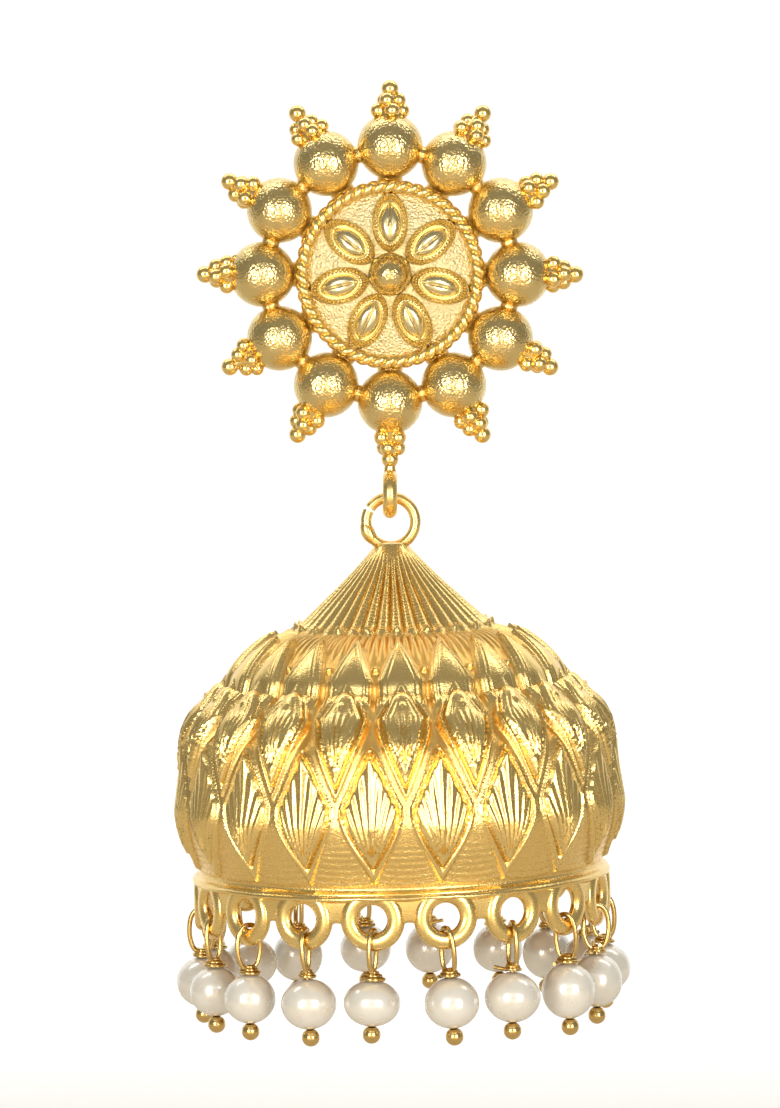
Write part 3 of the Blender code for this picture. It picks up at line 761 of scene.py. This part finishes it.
def flowing(outline, count):
    """A smooth run through an outline: a Catmull-Rom curve, its points spaced by its length."""
    knots = np.asarray(outline, float)
    padded = np.concatenate([[2 * knots[0] - knots[1]], knots, [2 * knots[-1] - knots[-2]]])
    t = np.linspace(0.0, 1.0, 24, endpoint=False)[:, None]
    runs = [
        0.5 * (2 * b + (c - a) * t + (2 * a - 5 * b + 4 * c - d) * t**2
               + (3 * b - a - 3 * c + d) * t**3)
        for a, b, c, d in zip(padded, padded[1:], padded[2:], padded[3:])
    ]
    curve = np.concatenate(runs + [knots[-1:]])
    length = np.concatenate([[0.0], np.cumsum(np.linalg.norm(np.diff(curve, axis=0), axis=1))])
    even = np.linspace(0.0, length[-1], count)
    return np.stack([np.interp(even, length, curve[:, i]) for i in range(2)], axis=1)


def hang(points, turn=BELL_TURN):
    """From the drop's own axis, heights measured from its hinge, to its leaning place."""
    matrix = rotation("Y", -DROP_LEAN) @ rotation("Z", turn)
    return carried(points, matrix, (0.0, -BALL_RADIUS, PIVOT_HEIGHT))


def leaf(offset, half_width, band, fan, veins, lines):
    """Height of one petal, 0 to 1: a smooth round band, a groove, and a cushion with lines along
    its edge and veins that fan out from its lower tip.  Widths are in half petal spacings."""
    inside = half_width - np.abs(offset)
    edge_band = 0.60 + 0.15 * np.sqrt(np.clip(1.0 - (2.0 * inside / band - 1.0) ** 2, 0.0, 1.0))
    edge_band = edge_band * (1.0 - 0.24 * ease(inside, band - 0.04, band + 0.03))
    share = np.abs(offset) / np.maximum(half_width - band, 0.03)
    cushion = 0.50 + 0.50 * np.sqrt(np.clip(1.0 - share**2, 0.0, 1.0))
    nested = inside - band - 0.04
    near_edge = np.exp(-((nested - 0.16) / 0.22) ** 4)
    cushion = cushion + lines * np.cos(2 * math.pi * nested / LINE_SPACING) * near_edge
    cushion = cushion + veins * np.cos(2 * math.pi * VEIN_SHARE * fan)
    inner = ease(inside, band + 0.01, band + 0.09) * cushion
    return ease(inside, 0.0, 0.15) * np.maximum(edge_band, inner)


def opening(down, start, length, power):
    """0 above a start and 1 past a length: the share of the way down it, to a power."""
    return np.clip((down - start) / length, 0.0, 1.0) ** power


def fanned(down, across, meet, spread):
    """The distance across a petal, opened out from the point where its veins meet."""
    return np.abs(across) * spread / np.maximum(meet - down, 0.05)


def dot(down, across, row, flatness=1):
    """A raised dot: its height times exp(-(x**2 + y**2)) of the shares of its half sizes."""
    height, centre, half_width, half_length = row
    spread = (across / half_width) ** 2 + ((down - centre) / half_length) ** 2
    return height * np.exp(-(spread**flatness))


def bell_ground(down, offset):
    """Height of what lies between the petals: flutes with beads down the cone, spokes on the
    shoulder, and fine level lines above the rim."""
    ridge = np.abs(np.cos(math.pi * offset))
    beads = 0.02 * ridge**4 * np.cos(2 * math.pi * FLUTE_BEADS * down) * ease(down, 0.35, 0.6)
    flute = 1.0 - FLUTE_DEPTH * ease(down, 0.04, 0.55) * (1.0 - ridge**0.7) + beads
    low = 0.12 + 0.34 * ease(down, 2.45, 2.90) - 0.12 * ease(down, 3.25, 3.55)
    lines = np.cos(2 * math.pi * (GROUND_LINES * down + 0.5 * offset**2)) * np.cos(5.0 * down)
    low = low + 0.035 * ease(down, 3.35, 3.55) * lines
    spokes = np.abs(np.cos(2.5 * math.pi * offset)) ** 0.7
    shoulder = 0.10 + 0.42 * (1.0 - ease(down, 1.10, 1.70)) * spokes
    shoulder = np.maximum.reduce([low, shoulder, flute - 9.0 * (down - 1.0)])
    return np.where(down < 1.0, flute, shoulder)


def bell_relief(down, offset):
    """Height of the chasing, 0 to 1, and how stippled it is.  down counts the stretches of the
    outline; offset runs from -1 to 1 across a petal's spacing, 0 on a front petal's middle."""
    beside = offset - np.sign(offset + 1e-9)
    arch_width = ARCH_WIDEST * opening(down, *ARCH_OPENING)
    arch = leaf(offset, arch_width, ARCH_BORDER, 0.0 * down, 0.0, ARCH_LINES)
    arch = arch * (1.0 - 0.75 * ease(down, 2.0, 2.25))
    front_width = FRONT_WIDEST * opening(down, *FRONT_OPENING) * (1.0 - opening(down, *FRONT_CLOSING))
    front_veins = FRONT_VEIN_DEPTH * ease(down, 2.2, 2.4) * ease(2.86 - down, 0.0, 0.12)
    front_fan = fanned(down, offset, *FRONT_VEINS)
    front_lines = FRONT_LINES * ease(down, 2.06, 2.20)
    front = leaf(offset, front_width, FRONT_BORDER, front_fan, front_veins, front_lines)
    front = front + dot(down, offset, NECK_DOT)
    brow = 0.40 * np.exp(-((down - 2.03) / 0.11) ** 2) * np.cos(math.pi * offset / 2) ** 2
    front = front * (1.0 + brow)
    back_width = BACK_WIDEST * opening(down, *BACK_OPENING) * (1.0 - opening(down, *BACK_CLOSING))
    back_border = BACK_BORDER + BACK_BORDER_FOOT * ease(down, 3.35, 3.85)
    back_veins = BACK_VEIN_DEPTH * ease(3.72 - down, 0.0, 0.12)
    back = leaf(beside, back_width, back_border, fanned(down, beside, *BACK_VEINS), back_veins, 0.0)
    petals = np.maximum.reduce([arch, front, back])
    height = np.maximum.reduce([petals, bell_ground(down, offset), dot(down, offset, CONE_DOT),
                                dot(down, beside, GAP_DOT, 2), ease(down, 3.97, 4.0)])
    grain = np.where((petals < 0.4) & (down > 1.0) & (down < 4.0), 1.0, 0.25)
    return np.clip(height, 0.0, 1.6), grain


outline_curve = np.concatenate(
    [flowing(outline, rows + 1)[:-1] for outline, rows in STRETCHES] + [[BAND_OUTLINE[-1]]])
outline_down = np.concatenate(
    [k + np.linspace(0.0, 1.0, rows, endpoint=False) for k, (_, rows) in enumerate(STRETCHES)]
    + [[float(len(STRETCHES))]])
outline_way = np.gradient(outline_curve, axis=0)
outline_in = np.stack([-outline_way[:, 1], outline_way[:, 0]], axis=1)
padded_in = np.pad(outline_in, ((SMOOTHING // 2, SMOOTHING // 2), (0, 0)), mode="edge")
outline_in = np.stack(
    [np.convolve(padded_in[:, i], np.ones(SMOOTHING) / SMOOTHING, "valid") for i in range(2)], axis=1)
outline_in /= np.linalg.norm(outline_in, axis=1, keepdims=True)


def bell_stretch(first, last, count):
    """One stretch of the bell, outside and inside: the outline is moved inwards, square to itself,
    by the relief outside and by the relief and the wall inside, and turned round the axis.  Near
    the rim it wavers up and down with three sines."""
    columns = np.arange(count)
    angle = 2 * math.pi * columns / count - math.pi / 2
    turns = columns * PETALS_ROUND / count
    offset = (2 * (turns - np.round(turns)))[None, :]
    rows = np.arange(first, last + 1)
    height, grain = bell_relief(outline_down[rows][:, None] + 0 * offset, offset + 0 * rows[:, None])
    inner_rows = np.unique(np.concatenate([rows[::-1][::LINING_STEP], [first, last]]))[::-1]
    every = np.concatenate([rows, inner_rows])
    deeper = DEEPER_RELIEF * np.exp(-((outline_down - DEEPEST) / DEEPER_SPAN) ** 2)
    relief = (RELIEF + deeper)[every, None]
    depth = np.concatenate([1.0 - height, np.ones((len(inner_rows), count))]) * relief
    end_wall = np.clip((outline_down[-1] - outline_down[inner_rows]) / 0.6, 0.0, 1.0)[:, None]
    depth[len(rows):] = BELL_WALL + relief[len(rows):] * end_wall
    waver = 0.05 * np.clip(outline_down[every][:, None] - 4.0, 0.0, 1.0)
    waver = waver * (np.sin(7 * angle) + 0.7 * np.sin(17 * angle + 1.0) + 0.4 * np.sin(41 * angle))
    z = outline_curve[every, 0][:, None] + outline_in[every, 0][:, None] * depth + waver
    radius = outline_curve[every, 1][:, None] + outline_in[every, 1][:, None] * depth
    radius = np.maximum(radius, 0.3)
    # Painted shade: the lower the relief, the deeper the colour, with less of it from the foot of the
    # second row down.
    hollow = np.clip(0.90 - 1.35 * height, 0.0, 1.0)
    hollow = hollow * (1.0 - 0.6 * ease(outline_down[rows], 2.5, 3.1))[:, None]
    lining = np.zeros((len(inner_rows), count))
    marks = {"hollow": np.concatenate([hollow, lining]).ravel(),
             "ground": np.concatenate([grain, lining]).ravel()}
    return skin(hang(swept(radius, angle, z)), wrap=True), marks


bell_gold = gold_finish("bell_gold", rough=0.25, grain=0.016, ground=2.5, speckle=0.4)
edges = np.cumsum([0] + [rows for _, rows in STRETCHES])
for piece_name, first_row, last_row, count in (
    ("bell_cone", edges[0], edges[1], CONE_COLUMNS),
    ("bell_first_row", edges[1], edges[2], ROW_COLUMNS),
    ("bell_second_row", edges[2], edges[3], ROW_COLUMNS),
    ("bell_third_row", edges[3], edges[5], ROW_COLUMNS),
):
    stretch_skin, stretch_marks = bell_stretch(first_row, last_row, count)
    place_piece(piece_name, [stretch_skin], bell_gold, "drop", ["dome"], stretch_marks, 60.0)

# Eyelets under the rim
# Eighteen rings of thick gold wire, soldered side by side under the bell's rim, each facing out.
EYELETS = 18
EYELET_RADIUS = 1.55
EYELET_WIRE_RADIUS = 0.48
EYELET_SWELL = 0.17
EYELET_TOP = 1.72
EYELET_RING_RADIUS = 15.338
EYELET_HEIGHT = -30.17
WEB_TOP = -28.35
WEB_FOOT = -28.80
WEB_DROP = 2.0
WEB_ARCH = 0.62
WEB_ARCH_HALF_WIDTH = 0.75
WEB_HALF_THICKNESS = 0.34
WEB_STEPS = 72

eyelet_angles = 2 * math.pi * (np.arange(EYELETS) + 0.5) / EYELETS - math.pi / 2


def wire_ring(radius, wire, steps, sides, start=0.0, end=2 * math.pi, depth=1.0):
    """A ring of wire in the plane of Y and Z, or an open stretch of one; depth is the wire's
    thickness across that plane as a share of its width in it."""
    closed = end - start > 2 * math.pi - 0.001
    turn = np.linspace(start, end, steps, endpoint=not closed)
    path = spots(0.0, radius * np.sin(turn), radius * np.cos(turn))
    wire_points = tube(path, wire, sides, closed=closed, side_hint=(1, 0, 0)) * [depth, 1.0, 1.0]
    return skin(wire_points, wrap=closed)


def moved_skin(part, move):
    """A skin with its points moved by a function."""
    return move(part[0]), part[1], part[2]


eyelet_skins = []
for eyelet_angle in eyelet_angles:
    seat = on_ring(EYELET_RING_RADIUS, eyelet_angle, EYELET_HEIGHT)
    around = rotation("Z", eyelet_angle)
    eyelet = wire_ring(EYELET_RADIUS + EYELET_SWELL, EYELET_WIRE_RADIUS + EYELET_SWELL, 44, 18,
                       depth=EYELET_WIRE_RADIUS / (EYELET_WIRE_RADIUS + EYELET_SWELL))
    eyelet = moved_skin(eyelet, lambda points: np.minimum(points, [9.0, 9.0, EYELET_TOP]))
    eyelet_skins.append(moved_skin(eyelet, lambda points: hang(carried(points, around, seat))))


def solder_webs():
    """A band of solder under the rim, round the axis: its lower edge drops between neighbouring
    eyelets and stays above their holes.  Each section is a flat loop with a round lower end."""
    angle = circle(WEB_STEPS * EYELETS)[:, None]
    turns = (angle - eyelet_angles[0]) * EYELETS / (2 * math.pi)
    across = np.abs(turns - np.round(turns)) * 2 * math.pi * EYELET_RING_RADIUS / EYELETS
    from_middle = math.pi * EYELET_RING_RADIUS / EYELETS - across
    arch = np.sqrt(1.0 - np.clip(from_middle / WEB_ARCH_HALF_WIDTH, 0.0, 1.0) ** 2)
    low = WEB_FOOT - WEB_DROP * ease(across, 1.2, 2.1) + WEB_ARCH * arch
    top = WEB_TOP + 0 * low
    bend = np.linspace(-math.pi / 2, math.pi / 2, 7)[None, :]
    half = WEB_HALF_THICKNESS
    height = np.concatenate([top, top, low - half * np.cos(bend) * 0.8], axis=1)
    radius = np.concatenate([0 * top + half, 0 * top - half, half * np.sin(bend) + 0 * low], axis=1)
    return swept(radius + EYELET_RING_RADIUS, angle, height)


webs = skin(hang(solder_webs()).transpose(1, 0, 2), wrap=True)
eyelet_skins.append(webs)
eyelet_gold = gold_finish("eyelet_gold", rough=0.27, grain=0.008)
place_piece("rim_eyelets", eyelet_skins, eyelet_gold, "drop", ["dome"])

# Ring on top of the bell
# A ring of round wire that hangs in the stud's loop.  Its open seam, at the upper left, was left
# showing, and a thick run of solder below it joins the ring to the bell's neck.
SEAM_TURN = math.radians(-58)
SEAM_GAP = math.radians(7)
RUN_START = math.radians(-84)
RUN_SPAN = math.radians(62)
NECK_RADII = (0.9, 1.25, 1.34, 1.28, 1.1, 0.7)
NECK_HEIGHTS = (-4.3, -4.0, -3.8, -3.64, -3.5, -3.42)

ring_start = SEAM_TURN + SEAM_GAP / 2
ring_end = ring_start + 2 * math.pi - SEAM_GAP
top_ring = wire_ring(RING_RADIUS, RING_WIRE_RADIUS, 72, 20, ring_start, ring_end)


def to_ring(points):
    """From the plane of Y and Z to the ring's own, which the bell's turn doesn't change."""
    return hang(carried(points, rotation("Z", -math.pi / 2), (0.0, 0.0, -RING_RADIUS)), 0.0)


def solder_run():
    """A bead along the ring's lower left, thickest in its middle: radius swells with a sine."""
    share = np.linspace(0.0, 1.0, 26)
    turn = RUN_START - RUN_SPAN * share
    path = spots(0.0, RING_RADIUS * np.sin(turn) * 1.02, RING_RADIUS * np.cos(turn))
    swell = RING_WIRE_RADIUS * (0.55 + 0.75 * np.sin(math.pi * share) ** 0.8)
    return skin(tube(path, swell, 18, side_hint=(1, 0, 0)))


ring_skins = [
    moved_skin(top_ring, to_ring),
    moved_skin(solder_run(), to_ring),
    skin(hang(turned(NECK_RADII, NECK_HEIGHTS, 36))),
]
place_piece("top_ring", ring_skins, rope_gold, "drop", ["dome"])

# Pearl drops
# Eighteen drilled pearls, each hanging from its eyelet on a gold head pin: a small ball head, the
# pin through the pearl, a flat coil of its wire on top, and a long eye.  Each was bent by hand.
PIN_PALE = (0.76, 0.54, 0.21)
PIN_DEEP = (0.60, 0.35, 0.09)
NACRE_DEEP, NACRE_PALE, NACRE_WARM = (0.79, 0.75, 0.66), (0.85, 0.82, 0.75), (0.74, 0.65, 0.49)
PEARL_RADIUS = 2.0
PEARL_BORE_RADIUS = 0.34
PIN_WIRE_RADIUS = 0.19
PIN_EYE_RADIUS = 0.95
PIN_WRAP_LENGTH = 1.9
COIL_WIRE_RADIUS = 0.14
COIL_TURNS = 2.6
COIL_START = 0.30
COIL_HEIGHT = 0.42
PIN_HEAD_RADIUS = 0.66
PEARL_CLEARANCE = 0.08
HANG_HEIGHT = (EYELET_HEIGHT - EYELET_RADIUS + EYELET_WIRE_RADIUS + PIN_WIRE_RADIUS
               + LINK_CLEARANCE)
PEARL_END = math.sqrt(PEARL_RADIUS**2 - PEARL_BORE_RADIUS**2)
WRAP_TOP = -2 * PIN_EYE_RADIUS + PIN_WIRE_RADIUS
WRAP_END = WRAP_TOP - PIN_WRAP_LENGTH
DROP_POSES = (
    # turn and sideways tilt in degrees, and the pearl's girth and height as shares of a ball
    (14, 3.0, 1.00, 0.94), (-22, -2.0, 1.02, 0.93), (9, 2.0, 1.00, 1.04), (25, -3.5, 0.98, 1.00),
    (-12, 1.5, 1.00, 0.93), (18, -1.0, 1.03, 0.98), (-6, 2.5, 0.98, 1.01), (20, -2.5, 1.00, 0.96),
    (-18, 1.0, 0.97, 1.00), (11, -1.5, 1.02, 0.94), (-24, 3.0, 0.99, 1.00), (7, -2.0, 1.01, 0.97),
    (16, 2.0, 0.97, 1.02), (-10, -3.0, 1.00, 0.96), (22, 1.0, 0.96, 0.93), (-16, -1.0, 0.94, 0.92),
    (5, 2.0, 1.00, 0.93), (-20, -2.5, 1.03, 0.85),
)


def pearl_shape(girth, height, seed):
    """A ball with a bore: its radius wavers a little with slow waves of the two angles."""
    start = math.atan2(PEARL_BORE_RADIUS, PEARL_END)
    polar = np.linspace(start, math.pi - start, 30)[:, None]
    around = circle(44)
    waver = 1.0 + 0.014 * np.sin(2 * around + seed) * np.sin(polar) ** 2
    waver = waver + 0.010 * np.cos(3 * polar + 1.7 * seed) * np.sin(polar) ** 2
    reach = PEARL_RADIUS * waver * np.sin(polar)
    reach = reach * (1 + (girth - 1) * ease(reach, 0.4, 1.2))
    outside = swept(reach, around, PEARL_RADIUS * height * np.cos(polar))
    bore = swept(0.93 * PEARL_BORE_RADIUS, around[None], 0.0)
    end = np.array([0.0, 0.0, 0.96 * PEARL_END * height])
    return np.concatenate([outside, bore - end, bore + end])


def pin_shape(pearl_height, eye_width, coil_reach, tail_length):
    """The pin's wire: a ball head, a straight shank, a flat coil on the pearl that ends in a tail,
    and a long eye: (width times sine, length times cosine)."""
    pearl_centre = WRAP_END - PEARL_CLEARANCE - PEARL_END * pearl_height
    head = pearl_centre - PEARL_END * pearl_height - PEARL_CLEARANCE
    head -= math.sqrt(PIN_HEAD_RADIUS**2 - PEARL_BORE_RADIUS**2)
    shank = spots(0.0, 0.0, np.linspace(head, WRAP_END + 0.55, 12))
    wrap = np.linspace(0.0, 1.0, 60)
    turn = 2 * math.pi * COIL_TURNS * wrap
    coil_radius = COIL_START + (coil_reach - COIL_START) * wrap
    fall = PEARL_RADIUS - np.sqrt(PEARL_RADIUS**2 - coil_radius**2)
    coil_height = WRAP_END + COIL_WIRE_RADIUS + COIL_HEIGHT * (1 - wrap) - fall + 0.02
    coil = swept(coil_radius, turn, coil_height)
    tail_way = np.array([-math.sin(turn[-1]) + 0.5 * math.cos(turn[-1]),
                         math.cos(turn[-1]) + 0.5 * math.sin(turn[-1]), 0.28])
    tail = coil[-1] + tail_way * np.linspace(0.05, tail_length, 8)[1:, None]
    coil = np.concatenate([coil, tail])
    eye_turn = np.linspace(math.radians(178), math.radians(-178), 56)
    eye_length = -WRAP_END - 0.35
    wide = np.sign(np.sin(eye_turn)) * np.abs(np.sin(eye_turn)) ** 0.72
    eye = spots(eye_width * wide, 0.16 * np.sin(eye_turn / 2),
                eye_length / 2 * (np.cos(eye_turn) - 1))
    return [
        skin(tube(shank, PIN_WIRE_RADIUS, 10, side_hint=(1, 0, 0))),
        skin(tube(coil, COIL_WIRE_RADIUS, 8)),
        skin(tube(eye, PIN_WIRE_RADIUS, 10, side_hint=(0, 1, 0))),
        skin(sphere(PIN_HEAD_RADIUS, 16, 24) + [0.0, 0.0, head]),
    ], pearl_centre


def pearl_finish():
    """Nacre: cream, a little paler or warmer from cloud to cloud, under a clear coat."""
    finish = Finish("pearl_nacre", Coat_Roughness=0.20, Coat_IOR=1.7, IOR=1.7, Metallic=0.25)
    cloud = finish.noise(0.35)
    fine = finish.noise(1.2)
    body = finish.mix(cloud, NACRE_DEEP, NACRE_PALE)
    return finish.wear(
        Base_Color=finish.mix((fine - 0.4).held(0.0, 1.0), body, NACRE_WARM),
        Roughness=(0.26 + (fine - 0.5) * 0.08).held(0.08, 0.5),
        Coat_Weight=(0.7 + (cloud - 0.5) * 0.3).held(0.0, 1.0),
        Normal=finish.bump(fine, 0.008),
    )


nacre = pearl_finish()
pin_gold = gold_finish("pin_gold", rough=0.22, grain=0.004, colours=(PIN_PALE, PIN_DEEP))
EYE_WIDTHS = (0.80, 0.92, 0.78, 0.98, 0.84, 0.78)
COIL_REACHES = (0.78, 0.60, 0.92, 0.70, 0.84)
TAIL_LENGTHS = (0.15, 0.9, 0.1, 0.3, 0.12, 1.2, 0.2)
for drop_index, (turn_deg, tilt_deg, girth, height) in enumerate(DROP_POSES):
    eyelet_angle = eyelet_angles[drop_index]
    seat = on_ring(EYELET_RING_RADIUS, eyelet_angle, HANG_HEIGHT)
    hanging = rotation("Z", eyelet_angle) @ rotation("X", math.radians(tilt_deg))
    twisted = hanging @ rotation("Z", math.radians(turn_deg))
    bends = [row[drop_index % len(row)] for row in (EYE_WIDTHS, COIL_REACHES, TAIL_LENGTHS)]
    pin_skins, pearl_centre = pin_shape(height, *bends)
    pin_skins = [moved_skin(part, lambda points: hang(carried(points, twisted, seat)))
                 for part in pin_skins]
    pearl = pearl_shape(girth, height, drop_index) + [0.0, 0.0, pearl_centre]
    pearl_skin = skin(hang(carried(pearl, hanging, seat)), wrap=True)
    number = f"{drop_index + 1:02d}"
    place_piece("wrapped_pin_" + number, pin_skins, pin_gold, "drop", ["head_pin_" + number])
    place_piece("drilled_pearl_" + number, [pearl_skin], nacre, "drop", ["pearl_" + number])
